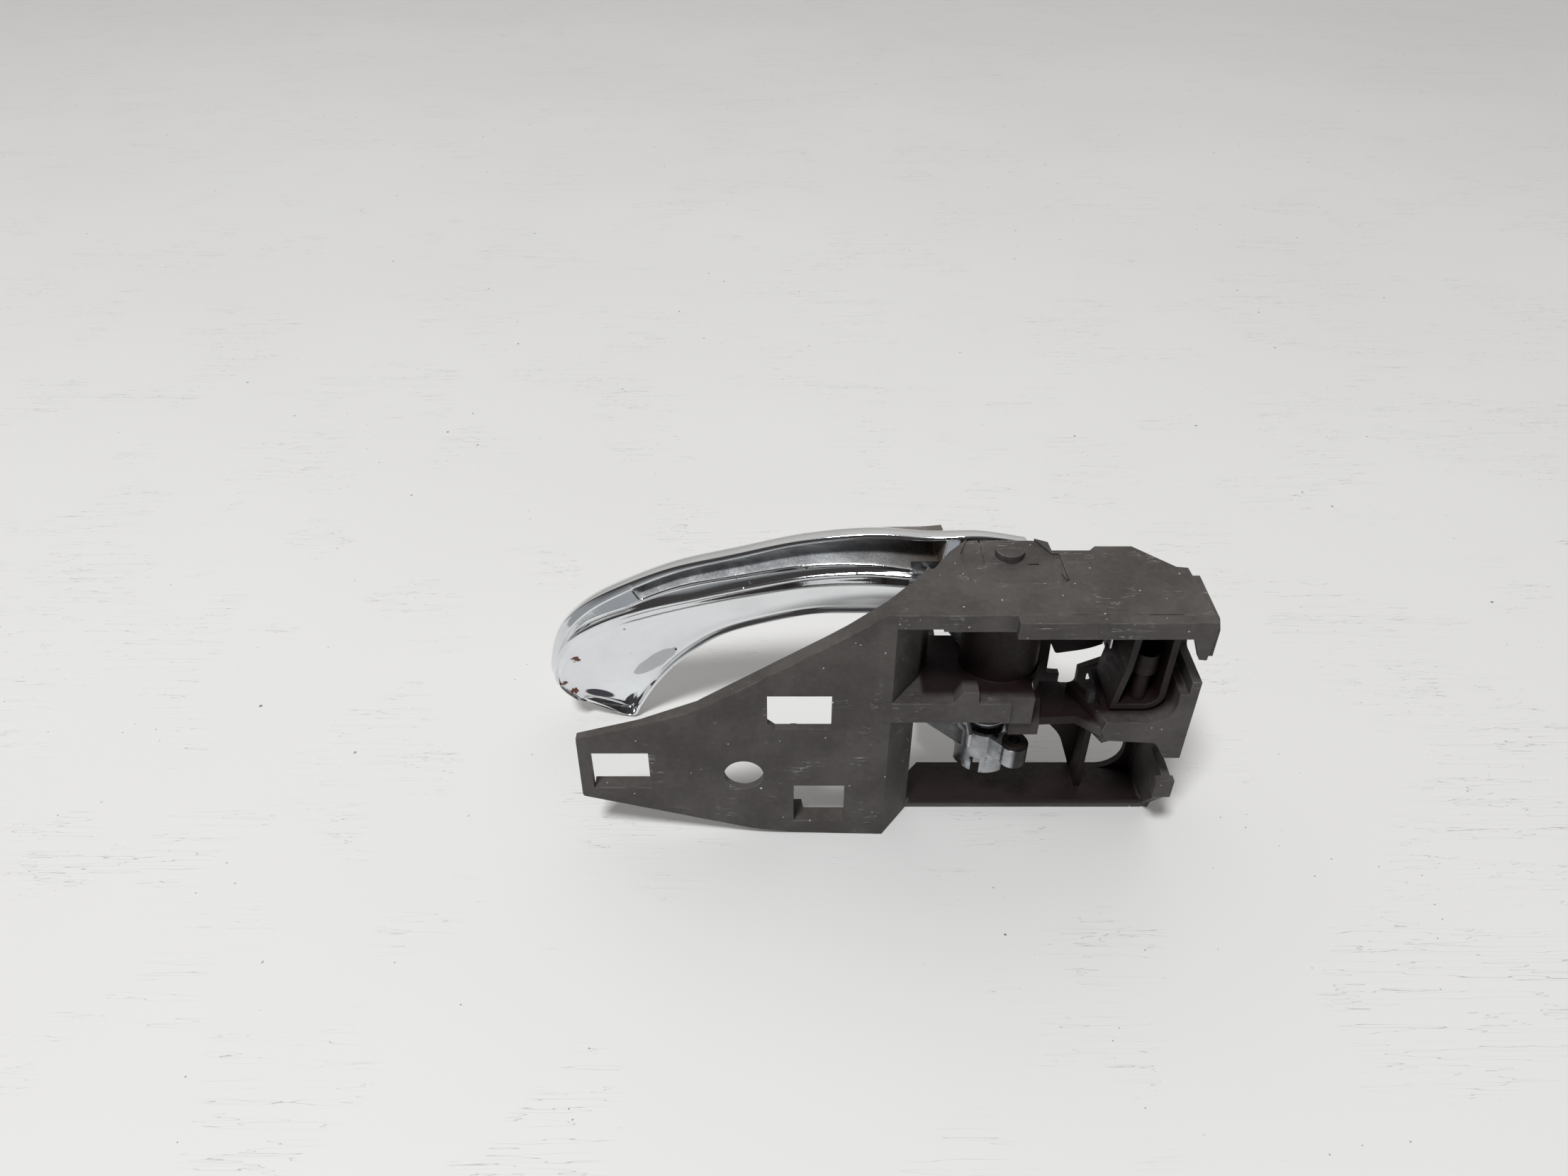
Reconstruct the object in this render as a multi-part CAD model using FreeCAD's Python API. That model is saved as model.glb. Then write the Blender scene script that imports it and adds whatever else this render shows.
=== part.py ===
import FreeCAD, Part
import math
import os
from FreeCAD import Vector

# Inside door release handle of a passenger car: a moulded housing that screws to the door
# panel, an arched pull lever that swings out about an upright pin, and a lock rocker beside it.
# Frame: the origin is the centre of the fixing hole on the door-side face of the plate,
# +X runs towards the end where the two cables enter, +Y towards the cabin, +Z up. Millimetres.

# Housing
wall = 2.0
hole_radius = 5.05
foot_z = -22.7
rim_z = 52.3
rim_height = 4.7
rim_depth = 2.0
lip_proud = 2.7
plate_left = -41.6
corner_x = 36.1
funnel_x = 43.2
funnel_y = 9.5
lip_start_x = 63.2
lip_end_x = 107.8
cable_end_x = 109.2
cable_wall = 2.2
side_depth = 24.0
top_depth = 30.3
slot_depth = 1.4
catch_x = 64.9
catch_y = 24.3
catch_radius = 3.6
catch_height = 1.2
release_notch_z = -2.2
release_notch_height = 8.5
lock_notch_z = 31.9
lock_notch_height = 9.1
release_notch_depth = 12.0
lock_notch_depth = 14.0

# Lever pivot
pivot_x = 63.7
pivot_y = 18.0
pin_radius = 2.5
running_gap = 0.05
bush_wall = 1.5
knuckle_radius = 8.2
shelf_top = 24.9
bar_height = 6.2
shelf_thickness = 2.5
shelf_end_radius = 11.0
shelf_back_y = 25.5
block_depth = 9.0
washer_thickness = 0.9
washer_gap = 0.1
upper_knuckle_height = 14.0
lower_knuckle_top = 3.7
lower_knuckle_height = 8.4
skirt_height = 5.0
skirt_wall = 1.8
knuckle_boss = 4.9
knuckle_land = 7.2
knuckle_recess = 3.0
shroud_gap = 0.7
shroud_wall = 1.5
top_boss_radius = 6.0
top_boss_drop = 6.0

# Return spring
wire_radius = 0.65
coil_radius = 5.6
coil_turns = 5.5
coil_gap = 0.8
spring_leg = knuckle_radius + 0.4
spring_hook = 4.0

# Lever
root_back_y = 33.5
spine_thickness = 5.0
spine_left_x = 43.0
spine_right_x = 68.0
crank_reach = 11.5
crank_radius = 3.6
crank_height = 6.0
socket_radius = 2.4
socket_bore = 1.5

# Lock rocker
rocker_x = 97.5
rocker_y = 15.0
rocker_gap = 0.8
rocker_wall = 1.6
button_front = 32.0
rocker_height = 25.0
lock_pin_radius = 2.0
trough_z = 18.6
trough_thickness = 2.2
cup_left_x = 88.9
cup_right_x = 104.9
cup_corner = 6.0
cup_depth = 20.0
rocker_side_gap = 1.7
rocker_front = 4.0
hub_radius = 4.2

pad_thickness = 2.6
pad_gap = 0.3

shelf_bottom = shelf_top - shelf_thickness
bar_bottom = shelf_top - bar_height
ceiling = rim_z - wall
upper_knuckle_z = shelf_top + washer_thickness + 2 * washer_gap
upper_knuckle_top = upper_knuckle_z + upper_knuckle_height
lower_knuckle_z = lower_knuckle_top - lower_knuckle_height
bush_radius = pin_radius + running_gap + bush_wall
bore_radius = pin_radius + running_gap
cable_in_x = cable_end_x - cable_wall
rocker_z = trough_z + rocker_gap
rocker_top = rocker_z + rocker_height


def box(x0, x1, y0, y1, z0, z1):
    return Part.makeBox(x1 - x0, y1 - y0, z1 - z0, Vector(x0, y0, z0))


def rod(x, y, z0, z1, radius):
    return Part.makeCylinder(radius, z1 - z0, Vector(x, y, z0))


def tube(x, y, z0, z1, outer, inner):
    return rod(x, y, z0, z1, outer).cut(rod(x, y, z0, z1, inner))


def outline(points, place):
    """Closed face through (a, b) or (a, b, corner radius) points."""
    corners = []
    for i, point in enumerate(points):
        here = Vector(point[0], point[1], 0)
        if len(point) < 3:
            corners.append((here, None, here))
            continue
        before = Vector(*points[i - 1][:2], 0)
        after = Vector(*points[(i + 1) % len(points)][:2], 0)
        back = (before - here).normalize()
        ahead = (after - here).normalize()
        half = back.getAngle(ahead) / 2
        reach = point[2] / math.tan(half)
        inward = (back + ahead).normalize()
        middle = here + inward * (point[2] / math.sin(half) - point[2])
        corners.append((here + back * reach, middle, here + ahead * reach))
    edges = []
    for i, (start, middle, end) in enumerate(corners):
        if middle is not None:
            edges.append(Part.Arc(place(start), place(middle), place(end)).toShape())
        following = corners[(i + 1) % len(corners)][0]
        if end.distanceToPoint(following) > 1e-4:
            edges.append(Part.LineSegment(place(end), place(following)).toShape())
    return Part.Face(Part.Wire(edges))


def slab_x(points, x0, x1):
    return outline(points, lambda p: Vector(x0, p.x, p.y)).extrude(Vector(x1 - x0, 0, 0))


def slab_y(points, y0, y1):
    return outline(points, lambda p: Vector(p.x, y0, p.y)).extrude(Vector(0, y1 - y0, 0))


def slab_z(points, z0, z1):
    return outline(points, lambda p: Vector(p.x, p.y, z0)).extrude(Vector(0, 0, z1 - z0))


def joined(shapes):
    return shapes[0].multiFuse(shapes[1:]).removeSplitter()


def carved(shape, tools):
    for tool in tools:
        shape = shape.cut(tool)
    return shape


def around(x, y, radius, degrees):
    angle = math.radians(degrees)
    return (x + radius * math.cos(angle), y + radius * math.sin(angle))


# The sloping upper edge of the plate, from the left end to the corner of the rim
upper_edge = [
    (-41.3, 12.9),
    (-26.0, 17.3),
    (-11.0, 22.4),
    (20.5, 43.0),
    (33.9, rim_z),
]


def plate():
    points = [
        (-41.3, 12.9, 1.0),
        (plate_left, -7.6, 1.0),
        (3.7, foot_z + 1.8, 40.0),
        (corner_x, foot_z),
        (corner_x, rim_z),
        (33.9, rim_z, 2.0),
        (20.5, 43.0, 60.0),
        (-11.0, 22.4, 30.0),
        (-26.0, 17.3, 30.0),
    ]
    sheet = slab_y(points, 0, wall)
    cuts = [
        box(-38.4, -23.8, -1, wall + 1, -4.7, 7.9),
        slab_y([(8.0, 16.3), (21.8, 16.3), (21.8, 27.4), (6.1, 27.4), (6.1, 18.0)], -1, wall + 1),
        box(12.7, 25.8, -1, wall + 1, -17.4, -3.9),
        Part.makeCylinder(hole_radius, wall + 2, Vector(0, -1, 0), Vector(0, 1, 0)),
    ]
    return carved(sheet, cuts)


def plate_flange():
    """Stiffening wall along the sloping edge, deeper towards the rim."""
    inset = [(x + 0.9, z - 1.8) for x, z in reversed(upper_edge)]
    band = slab_y(upper_edge + inset, 0, 9)
    depth = slab_z(
        [(-45, 0), (-45, 2.2), (-25, 2.4), (-10, 3.9), (25, 4.2), (33.9, 5.3), (corner_x, 5.3),
         (corner_x, 0)],
        foot_z,
        rim_z + 1,
    )
    return band.common(depth)


def plate_ribs():
    """Ledges under the clip windows and the curved web on the cabin side of the plate."""
    curved = slab_y(
        [(10.0, foot_z + 1.4), (15.5, foot_z + 1.2), (13.0, -6.0, 40.0), (13.4, 11.0), (11.8, 11.0),
         (10.9, -6.0, 40.0)],
        wall,
        7.5,
    )
    window = box(12.7, 25.8, -1, 9, -17.4, -3.9)
    return [
        box(-38.4, -23.8, wall, 4.0, -6.5, -4.7),
        box(12.0, 26.6, wall, 4.6, -19.0, -17.4),
        curved.cut(window),
        box(26.6, 28.2, wall, 6.0, foot_z + 1, 14.0),
    ]


def top_wall():
    edge = [
        (33.9, 0),
        (33.9, 5.3),
        (41.1, 13.5),
        (44.1, 17.4),
        (46.0, 17.8),
        (50.2, 24.4),
        (55.6, top_depth, 1.5),
        (71.3, top_depth, 2.0),
        (74.9, 28.6),
        (75.2, 25.1),
        (84.4, 25.1),
        (86.0, 26.8),
        (95.0, 26.8),
        (103.7, 18.5),
        (106.4, 18.1),
        (lip_end_x, -lip_proud),
        (lip_start_x, -lip_proud),
        (lip_start_x, 0),
    ]
    sheet = slab_z(edge, ceiling, rim_z)
    recess = slab_z(
        [(53.7, 11.9), (76.0, 12.1), (77.2, 13.2), (76.9, 24.0), (75.0, 24.0), (71.3, 31), (55.6, 31),
         (52.9, 24.0)],
        rim_z - 0.8,
        rim_z + 1,
    )
    slot = [
        box(58.0, 58.6, 20.2, 32, rim_z - slot_depth, rim_z + 1),
        box(58.0, 71.4, 20.2, 20.9, rim_z - slot_depth, rim_z + 1),
        slab_z([(76.2, 17.6), (77.4, 13.2), (75.9, 13.0)], rim_z - slot_depth, rim_z + 1),
    ]
    groove = box(corner_x, lip_end_x - 0.4, 0.3, 0.7, rim_z - 0.25, rim_z + 1)
    catch = rod(catch_x, catch_y, rim_z - slot_depth, rim_z + catch_height, catch_radius).common(
        box(catch_x - 5, catch_x + 5, catch_y - 5, catch_y, ceiling, rim_z + 3))
    return [carved(sheet, [recess, groove] + slot), catch]


def rim():
    """Turned-down front edge of the top wall, in two depths, and the hook at its cable end."""
    left = slab_y(
        [(corner_x - 1, rim_z), (corner_x - 1, rim_z - 4.0), (46.7, rim_z - 4.0),
         (46.7, rim_z - rim_height), (lip_start_x, rim_z - rim_height), (lip_start_x, rim_z)],
        0,
        rim_depth,
    )
    lip = box(lip_start_x, lip_end_x, -lip_proud, rim_depth - lip_proud, rim_z - rim_height, rim_z)
    link = box(lip_start_x, lip_start_x + wall, -lip_proud, rim_depth, rim_z - rim_height, rim_z)
    hook = slab_y(
        [(102.0, rim_z - 4), (103.4, rim_z - 5.2), (105.4, lock_notch_z + 9.6),
         (lip_end_x - 0.6, lock_notch_z + 9.4), (lip_end_x, rim_z - 4)],
        -lip_proud,
        rim_depth - lip_proud,
    )
    return [left, lip, link, hook]


def cable_wall_side():
    """Wall at the cable end, with an open notch for each cable's ferrule."""
    notch = release_notch_z + release_notch_height
    points = [
        (side_depth, foot_z),
        (funnel_y, foot_z),
        (funnel_y - 1.0, foot_z + 3.0),
        (0.6, -8.4),
        (0.0, -7.6),
        (0.0, release_notch_z),
        (release_notch_depth, release_notch_z, 1.5),
        (release_notch_depth, notch, 1.5),
        (0.0, notch),
        (0.0, lock_notch_z),
        (lock_notch_depth, lock_notch_z, 1.5),
        (lock_notch_depth, lock_notch_z + lock_notch_height, 1.5),
        (-0.8, lock_notch_z + lock_notch_height),
        (-0.8, rim_z - 3.5),
        (1.0, ceiling + 0.5),
        (17.0, ceiling + 0.5),
        (side_depth, ceiling - 12),
    ]
    tab = box(cable_end_x - 4.0, cable_end_x + 0.6, 0, wall, -8.2, release_notch_z)
    return [slab_x(points, cable_in_x, cable_end_x), tab]


def floor_wall():
    """Lower wall with a raised front lip and chamfered ends."""
    sheet = slab_z(
        [(funnel_x - 1.5, funnel_y - 0.1), (107.2, funnel_y - 0.1), (cable_end_x, funnel_y + 1.4),
         (cable_end_x, side_depth), (47.5, side_depth), (funnel_x - 1.5, 16.9)],
        foot_z,
        foot_z + wall,
    )
    lip = slab_z(
        [(funnel_x - 1.0, funnel_y - 0.1), (106.6, funnel_y - 0.1), (cable_in_x + 0.5, funnel_y + 1.4),
         (102.0, funnel_y + 0.4), (funnel_x - 1.0, funnel_y + 0.4)],
        foot_z,
        foot_z + 2.8,
    )
    return [sheet, lip]


def funnel():
    """Slanted wall from the plate's edge to the mouth of the mechanism bay, full height."""
    lower = slab_z(
        [(corner_x - wall, 0), (corner_x, 0), (funnel_x, funnel_y), (funnel_x - 1.6, funnel_y + 1.4)],
        foot_z,
        rim_z - 1,
    )
    upper = slab_z(
        [(funnel_x - 1.6, funnel_y + 1.2), (funnel_x, funnel_y), (46.2, 18.0), (44.6, 18.6)],
        bar_bottom,
        rim_z - 1,
    )
    return [lower, upper]


def shelf():
    """Cross bar with the pivot shelf behind it, the neck to the rocker cup and the end block."""
    bar = box(corner_x, 65.0, 0, 3.0, bar_bottom, shelf_top)
    block = slab_y(
        [(50.4, shelf_top - 1), (53.1, shelf_top + 3.7), (56.8, shelf_top + 3.7), (57.2, shelf_top - 1)],
        0,
        4.5,
    )
    sheet = slab_z(
        [(corner_x + 1, 2), (65.0, 2), (71.5, 8.6), (pivot_x, pivot_y), (58.0, shelf_back_y),
         (47.0, shelf_back_y), (42.0, 10)],
        shelf_bottom,
        shelf_top,
    )
    disc = rod(pivot_x, pivot_y, shelf_bottom, shelf_top, shelf_end_radius)
    boss = rod(pivot_x, pivot_y, bar_bottom, shelf_top, knuckle_radius)
    end_block = slab_x(
        [(3.2, 11.4), (block_depth, 11.4), (block_depth, 21.0), (6.0, 21.0), (3.2, 15.3)], 66.0, 73.4)
    riser = box(64.0, 71.0, 2.0, block_depth, 16.4, shelf_top)
    neck = slab_z(
        [(72.0, 5.0), (82.9, 5.6), (cup_left_x, 0.6), (cup_left_x + 2, 3.0), (84.0, 15.0), (80.5, 18.4),
         (76.0, 18.4), (72.0, 9.0)],
        12.9,
        15.4,
    )
    return [bar, block, sheet, disc, boss, end_block, riser, neck, pivot_shroud()]


def pivot_shroud():
    """Curved screen on the shelf that keeps the upper knuckle covered from the door side."""
    inner = knuckle_radius + shroud_gap
    outer = inner + shroud_wall
    top = ceiling + 0.5
    edge = [(pivot_x, pivot_y)]
    edge += [around(pivot_x, pivot_y, 2 * outer, 196 + k * 154 / 6) for k in range(7)]
    return tube(pivot_x, pivot_y, shelf_top - 1, top, outer, inner).common(slab_z(edge, shelf_top - 1, top))


def rocker_cup():
    """Trough round the lock rocker: a front flange, a floor and a slanted left side."""
    flange = slab_y(
        [
            (cup_left_x, trough_z),
            (cup_left_x - 0.8, 15.4),
            (cup_left_x + 0.9, 12.4, 1.5),
            (102.2, 11.6, 2.0),
            (105.2, release_notch_z + release_notch_height, 0.8),
            (cable_end_x, release_notch_z + release_notch_height),
            (cable_end_x, lock_notch_z),
            (cable_in_x, lock_notch_z),
            (cable_in_x, trough_z + 9.3),
            (cup_right_x, trough_z + 9.3),
            (cup_right_x, trough_z, cup_corner),
        ],
        0,
        wall,
    )
    shell = slab_y(
        [
            (cup_left_x, trough_z),
            (cup_left_x, trough_z - trough_thickness),
            (cable_end_x - 1, trough_z - trough_thickness),
            (cable_end_x - 1, trough_z + 9.3),
            (cup_right_x, trough_z + 9.3),
            (cup_right_x, trough_z, cup_corner),
        ],
        wall - 0.5,
        cup_depth,
    )
    side = slab_z(
        [(cup_left_x, 0.4), (cup_left_x + 2.2, 1.2), (84.2, 15.2), (82.0, 14.6)],
        11.2,
        trough_z,
    )
    return [flange, shell, side]


def cabin_wall():
    """Partial rear wall: lever opening on the left, rocker window, and lightening cuts."""
    back = side_depth - wall
    sheet = slab_y(
        [
            (75.6, ceiling),
            (75.6, 12.0),
            (78.0, 1.0, 8.0),
            (85.4, -7.4, 14.0),
            (90.4, foot_z + 0.5),
            (cable_in_x + 0.5, foot_z + 0.5),
            (cable_in_x + 0.5, ceiling - 12),
            (100.0, ceiling),
        ],
        back,
        side_depth,
    )
    crescent = slab_y(
        [(78.4, 25.2), (78.6, 15.0, 1.0), (83.0, 14.4, 9.0), (93.6, 19.6), (93.8, 26.2), (88.6, 23.4, 20.0),
         (80.0, 21.8, 1.0)],
        back - 1,
        side_depth + 1,
    )
    tongue = slab_y(
        [(82.0, 16.5), (82.0, 9.9, 1.8), (87.0, 9.9, 1.8), (86.8, 17.5)],
        back - 1,
        side_depth + 1,
    )
    gusset = slab_y([(92.8, 17.6), (89.2, 14.6), (89.2, 11.2), (90.8, 10.9, 0.6)], back - 1, side_depth + 1)
    lower = slab_y(
        [(92.2, foot_z + 2), (104.2, foot_z + 2, 7.0), (104.2, -2.0), (93.4, -2.0)],
        back - 1,
        side_depth + 1,
    )
    window = box(rocker_x - 5.9, cable_in_x - 0.4, back - 1, side_depth + 1, rocker_z - 0.2, rocker_top + 0.8)
    rib = box(89.8, 91.4, 15.0, side_depth, foot_z + 1, 6.0)
    return [carved(sheet, [window, crescent, tongue, gusset, lower]), rib]


def bosses():
    return [
        rod(pivot_x, pivot_y, ceiling - top_boss_drop, rim_z - 1, top_boss_radius),
        rod(rocker_x, rocker_y, rocker_top + 1.0, rim_z - 1, hub_radius),
        rod(rocker_x, rocker_y, trough_z - 5.5, trough_z, hub_radius),
    ]


def housing():
    pieces = [plate(), plate_flange()]
    for group in (plate_ribs(), top_wall(), rim(), cable_wall_side(), floor_wall(), funnel(), shelf(),
                  rocker_cup(), cabin_wall(), bosses()):
        pieces.extend(group)
    solid = joined(pieces)
    pin_hole = rod(pivot_x, pivot_y, bar_bottom - 1, rim_z - 1, pin_radius)
    lock_hole = rod(rocker_x, rocker_y, trough_z - 4.5, rim_z - 1, lock_pin_radius)
    return carved(solid, [pin_hole, lock_hole])


# Lever stations from the tip to the root: inner edge (x, z), outer edge (x, z), then y of the inner
# edge, the ridge and the outer edge, the thickness behind the ridge, and the ridge's and the
# crease's shares of the width
stations = [
    ((-36.7, -21.6), (-50.5, -14.2), 44.0, 43.2, 44.4, 4.5, 0.95, 0.90),
    ((-33.6, -21.6), (-56.5, -6.4), 43.8, 42.0, 44.0, 8.5, 0.94, 0.88),
    ((-31.6, -18.1), (-55.7, 2.5), 44.2, 41.3, 43.8, 10.5, 0.92, 0.84),
    ((-27.2, -10.8), (-51.9, 12.1), 44.6, 41.0, 44.0, 11.5, 0.88, 0.78),
    ((-21.0, -3.1), (-44.6, 19.9), 45.0, 41.0, 44.2, 12.0, 0.81, 0.69),
    ((-13.7, 3.5), (-33.7, 26.3), 45.2, 41.0, 44.4, 12.0, 0.74, 0.60),
    ((-5.8, 8.7), (-19.4, 32.5), 45.2, 41.0, 44.4, 12.0, 0.65, 0.52),
    ((4.9, 12.5), (-2.2, 37.1), 45.2, 41.0, 44.4, 12.0, 0.63, 0.49),
    ((18.2, 16.2), (15.1, 41.8), 44.5, 40.5, 43.8, 12.0, 0.61, 0.46),
    ((30.7, 18.0), (32.6, 44.8), 42.8, 39.0, 42.4, 12.0, 0.60, 0.45),
    ((43.0, 20.0), (47.6, 45.2), 40.4, 36.8, 40.4, 12.0, 0.58, 0.44),
    ((56.6, 22.7), (60.8, 46.4), 38.8, 35.6, 39.2, 11.0, 0.56, 0.43),
    ((70.5, 28.0), (72.6, 44.8), 38.8, 37.6, 39.0, 7.0, 0.55, 0.42),
]
back_profile = [(0.97, 0.46), (0.80, 0.86), (0.50, 1.00), (0.18, 0.83), (0.02, 0.43)]
pocket_stations = (5, 10)
pocket_low = (0.82, 0.64)
pocket_high = (0.93, 0.96)
pocket_floor_y = 48.3


def across(station, share):
    """Point (x, z) on a station's line, at a share of its width from the inner edge."""
    (xi, zi), (xo, zo) = station[:2]
    return (xi + share * (xo - xi), zi + share * (zo - zi))


def lever_ring(station):
    """Closed section: finger side, ridge, flat strip, then the crowned cabin side."""
    inner, ridge, outer, thick, ridge_share, crease_share = station[2:]
    profile = [
        (0.0, inner + 0.4),
        (0.03, inner),
        (0.07, inner + 0.6),
        (crease_share / 2, (inner + ridge) / 2 + 1.0),
        (crease_share, ridge + 0.8),
        (ridge_share, ridge),
        (ridge_share + 0.03, ridge + 0.5),
        (0.98, outer),
        (1.0, outer + 0.9),
    ]
    for share, rise in back_profile:
        edge = inner + share * (outer - inner) + 0.9
        profile.append((share, edge + rise * (ridge + thick - edge)))
    points = []
    for share, y in profile:
        x, z = across(station, share)
        points.append(Vector(x, y, z))
    return points


def lever_grip():
    """Arched pull: a lofted bar with a hollow finger side, a long pocket and a flat seat."""
    rings = [lever_ring(station) for station in stations]
    body = Part.makeLoft([Part.makePolygon(ring + ring[:1]) for ring in rings], True, False)
    first, last = pocket_stations
    lower, upper = [], []
    for k in range(first, last + 1):
        along = (k - first) / (last - first)
        lower.append(across(stations[k], pocket_low[0] + along * (pocket_low[1] - pocket_low[0])))
        upper.append(across(stations[k], pocket_high[0] + along * (pocket_high[1] - pocket_high[0])))
    pocket = slab_y(lower + upper[::-1], shelf_back_y, pocket_floor_y)
    seat = box(spine_left_x - 1, spine_right_x + 8, shelf_back_y, root_back_y + spine_thickness, 10, 50)
    return carved(body, [pocket, seat])


def lever_yoke():
    """Carrier behind the lever's root: a spine, two knuckles on the pin and the cable crank."""
    upper = [rod(pivot_x, pivot_y, upper_knuckle_z, upper_knuckle_top, knuckle_radius),
             slab_z([(57.5, 14.0), (49.0, root_back_y), (spine_right_x - 2, root_back_y),
                     (pivot_x + 3.5, 24.0)],
                    upper_knuckle_z, upper_knuckle_top - 2)]
    lower = [rod(pivot_x, pivot_y, lower_knuckle_z, lower_knuckle_top, knuckle_radius),
             slab_z([(pivot_x - 6.0, 12.6), (spine_left_x, 27.0), (spine_left_x, root_back_y + 1),
                     (47.0, root_back_y + 1), (pivot_x - 2, 25.0)],
                    lower_knuckle_z + 2, lower_knuckle_top - 1)]
    post = box(spine_left_x, 49.0, shelf_back_y + pad_thickness + pad_gap, root_back_y + 1,
               lower_knuckle_z + 2, upper_knuckle_top - 2)
    spine = box(spine_left_x, spine_right_x, root_back_y, root_back_y + spine_thickness,
                shelf_top + 1, upper_knuckle_top - 1)
    skirt = tube(pivot_x, pivot_y, lower_knuckle_z - skirt_height, lower_knuckle_z + 1,
                 knuckle_radius, knuckle_radius - skirt_wall)
    sectors = []
    for start, end in ((196, 240), (256, 300)):
        edge = [(pivot_x, pivot_y)]
        reach = 3 * knuckle_radius
        edge += [around(pivot_x, pivot_y, reach, start + k * (end - start) / 4) for k in range(5)]
        sectors.append(slab_z(edge, lower_knuckle_z - skirt_height, lower_knuckle_z + 1))
    legs = [skirt.common(sector) for sector in sectors]
    crank_x, crank_y = around(pivot_x, pivot_y, crank_reach, 300)
    crank_z = lower_knuckle_top - crank_height
    crank = [rod(crank_x, crank_y, crank_z, lower_knuckle_top, crank_radius),
             slab_z([around(pivot_x, pivot_y, 6.0, 225), around(pivot_x, pivot_y, 6.0, 15),
                     (crank_x + 3.0, crank_y + 1.7), (crank_x - 3.0, crank_y - 1.7)],
                    crank_z, lower_knuckle_top)]
    solid = joined(upper + lower + [post, spine] + legs + crank)
    bore = rod(pivot_x, pivot_y, lower_knuckle_z - 1, upper_knuckle_top + 1, bush_radius)
    recess = tube(pivot_x, pivot_y, lower_knuckle_top - knuckle_recess, lower_knuckle_top + 1,
                  knuckle_land, knuckle_boss)
    socket_seat = rod(crank_x, crank_y, crank_z - 1, lower_knuckle_top + 1, socket_radius)
    return carved(solid, [bore, recess, socket_seat])


def release_cable_socket():
    """Split sleeve in the crank that takes the nipple of the latch cable."""
    x, y = around(pivot_x, pivot_y, crank_reach, 300)
    z0 = lower_knuckle_top - crank_height
    sleeve = tube(x, y, z0, lower_knuckle_top, socket_radius, socket_bore)
    collar = tube(x, y, lower_knuckle_top, lower_knuckle_top + 0.8, socket_radius + 0.7, socket_bore)
    return joined([sleeve, collar])


def knuckle_bush(z0, z1):
    return tube(pivot_x, pivot_y, z0, z1, bush_radius, bore_radius)


def lever_pin():
    shank = rod(pivot_x, pivot_y, lower_knuckle_z - 3.4, ceiling - 0.5, pin_radius)
    groove_z = lower_knuckle_z - 2.4
    groove = tube(pivot_x, pivot_y, groove_z, groove_z + 1, pin_radius + 1, pin_radius - 0.5)
    return shank.cut(groove)


def pin_clip():
    """Snap ring in the groove at the lower end of the lever pin."""
    z = lower_knuckle_z - 2.4
    ring = tube(pivot_x, pivot_y, z + 0.1, z + 0.9, pin_radius + 2.0, pin_radius - 0.45)
    mouth = box(pivot_x - 1.5, pivot_x + 1.5, pivot_y - 9, pivot_y, z - 1, z + 2)
    return ring.cut(mouth)


def thrust_washers():
    outer = knuckle_radius - skirt_wall - 0.4
    levels = [shelf_top + washer_gap, upper_knuckle_top + washer_gap,
              lower_knuckle_z - washer_thickness - washer_gap]
    rings = [tube(pivot_x, pivot_y, z, z + washer_thickness, outer, pin_radius + 0.1) for z in levels]
    return Part.makeCompound(rings)


def spring_sleeve():
    """Spacer on the pin inside the coil, between the shelf's boss and the lower knuckle."""
    return tube(pivot_x, pivot_y, lower_knuckle_top + washer_gap, bar_bottom - washer_gap,
                bush_radius, bore_radius)


def return_spring():
    """Left-hand torsion coil round the sleeve, with a leg to the end block and a turned-down hook."""
    z0 = lower_knuckle_top + coil_gap + wire_radius
    room = bar_bottom - coil_gap - wire_radius - z0
    helix = Part.makeHelix(room / coil_turns, room, coil_radius, 0, True)
    profile = Part.Wire(Part.makeCircle(wire_radius, Vector(coil_radius, 0, 0), Vector(0, 1, 0)))
    coil = Part.Wire(helix.Edges).makePipeShell([profile], True, True)
    coil.rotate(Vector(0, 0, 0), Vector(0, 0, 1), 180)
    coil.translate(Vector(pivot_x, pivot_y, z0))
    forward = Vector(0, -1, 0)
    low_start = Vector(pivot_x - coil_radius, pivot_y, z0)
    high_start = Vector(pivot_x + coil_radius, pivot_y, z0 + room)
    low_leg = Part.makeCylinder(wire_radius, spring_leg, low_start, forward)
    low_end = low_start + forward * spring_leg
    knee = Part.makeSphere(wire_radius, low_end)
    hook = Part.makeCylinder(wire_radius, spring_hook, low_end, Vector(0, 0, -1))
    high_leg = Part.makeCylinder(wire_radius, pivot_y - block_depth - 0.4, high_start, forward)
    return joined([coil, low_leg, knee, hook, high_leg])


def rest_pad():
    """Rubber block on the shelf's rear edge that the lever's post closes against."""
    return box(47.2, 49.0, shelf_back_y, shelf_back_y + pad_thickness, shelf_bottom, shelf_top)


def open_stop_pad():
    return box(76.2, 79.2, side_depth, side_depth + 1.2, 30.0, 40.0)


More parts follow.
